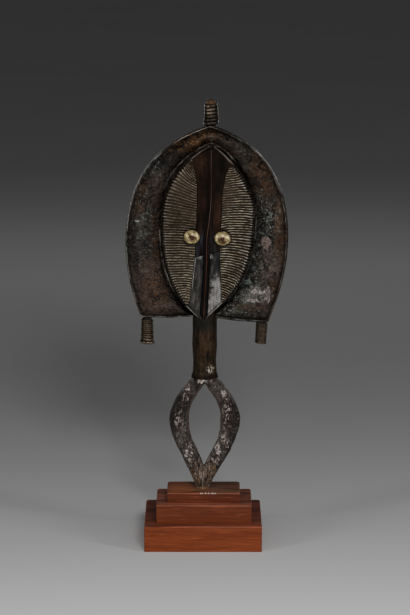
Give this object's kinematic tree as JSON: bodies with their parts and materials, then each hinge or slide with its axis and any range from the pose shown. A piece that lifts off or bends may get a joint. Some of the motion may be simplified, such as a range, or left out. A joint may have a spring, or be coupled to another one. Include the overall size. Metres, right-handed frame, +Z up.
{
  "type": "reliquary figure",
  "caption": "Standing reliquary figure: flat hooded head with an almond face of metal strips, sheathed neck and openwork lozenge base, on a stepped wooden stand.",
  "frame": {"origin": "middle of the stand's underside", "axes": "+Z up, +X to the viewer's right when facing the face, -Y the way the face looks"},
  "size_m": [0.1654, 0.111, 0.4618],
  "materials": {
    "carved_wood": "dark aged wood, dry, with pale crust in the carving",
    "sheath_metal": "dark brown patina, worn brighter on one side",
    "hood_metal": "dark brown hammered sheet with grey-green crust",
    "forehead_metal": "smooth dark sheet",
    "cheek_metal": "smooth grey-brown sheet",
    "ridge_metal": "dark sheet, pale along its arris",
    "strip_metal": "olive brass strips, dull",
    "eye_metal": "worn pale brass",
    "nail_iron": "rusty",
    "peg_wire": "tarnished wire",
    "stand_wood": "stained red-brown, waxed"
  },
  "bodies": {
    "root": {"wood_figure": "carved_wood", "neck_sheath": "sheath_metal", "hood_sheet_left": "hood_metal", "hood_sheet_right": "hood_metal", "forehead_plate": "forehead_metal", "cheek_plate_left": "cheek_metal", "cheek_plate_right": "cheek_metal", "nose_ridge": "ridge_metal", "strips_left": "strip_metal", "strips_right": "strip_metal", "eye_boss_left": "eye_metal", "eye_boss_right": "eye_metal", "eye_nail_left": "nail_iron", "eye_nail_right": "nail_iron", "finial_wrap": "peg_wire", "corner_wrap_left": "peg_wire", "corner_wrap_right": "peg_wire", "plinth_bottom_slab": "stand_wood", "plinth_middle_slab": "stand_wood", "plinth_top_slab": "stand_wood"}
  },
  "joints": []
}
